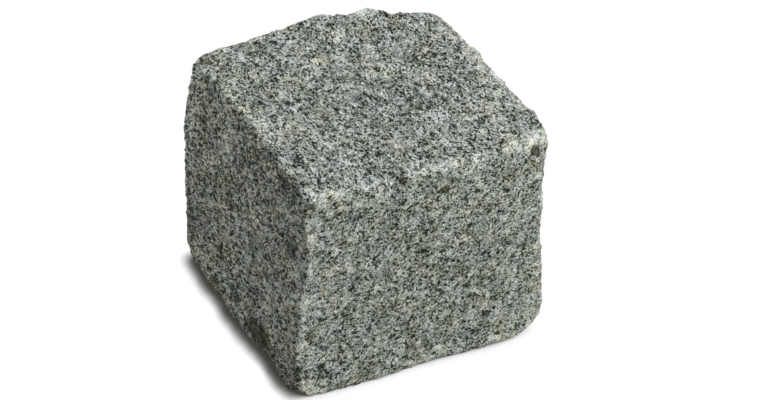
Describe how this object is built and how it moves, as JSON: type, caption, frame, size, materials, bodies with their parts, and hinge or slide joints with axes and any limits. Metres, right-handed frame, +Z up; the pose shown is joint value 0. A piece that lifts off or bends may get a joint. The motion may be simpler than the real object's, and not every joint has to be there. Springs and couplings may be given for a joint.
{
  "type": "granite paving sett",
  "caption": "Cropped granite paving sett: a rough grey cube of split stone with a cloven head, uneven sides and chipped arrises, laid in a bed to pave ground.",
  "frame": {"origin": "middle of the foot, on the bed that the stone rests on", "axes": "+Z up, from the foot to the head; -Y looks out of the front, the right-hand side in the picture; +X to the right"},
  "size_m": [0.1068, 0.1079, 0.0955],
  "materials": {
    "granite": "rough split face, fine speckle of pale feldspar, grey quartz and dark mica"
  },
  "bodies": {
    "root": {"sett": "granite"}
  },
  "joints": []
}
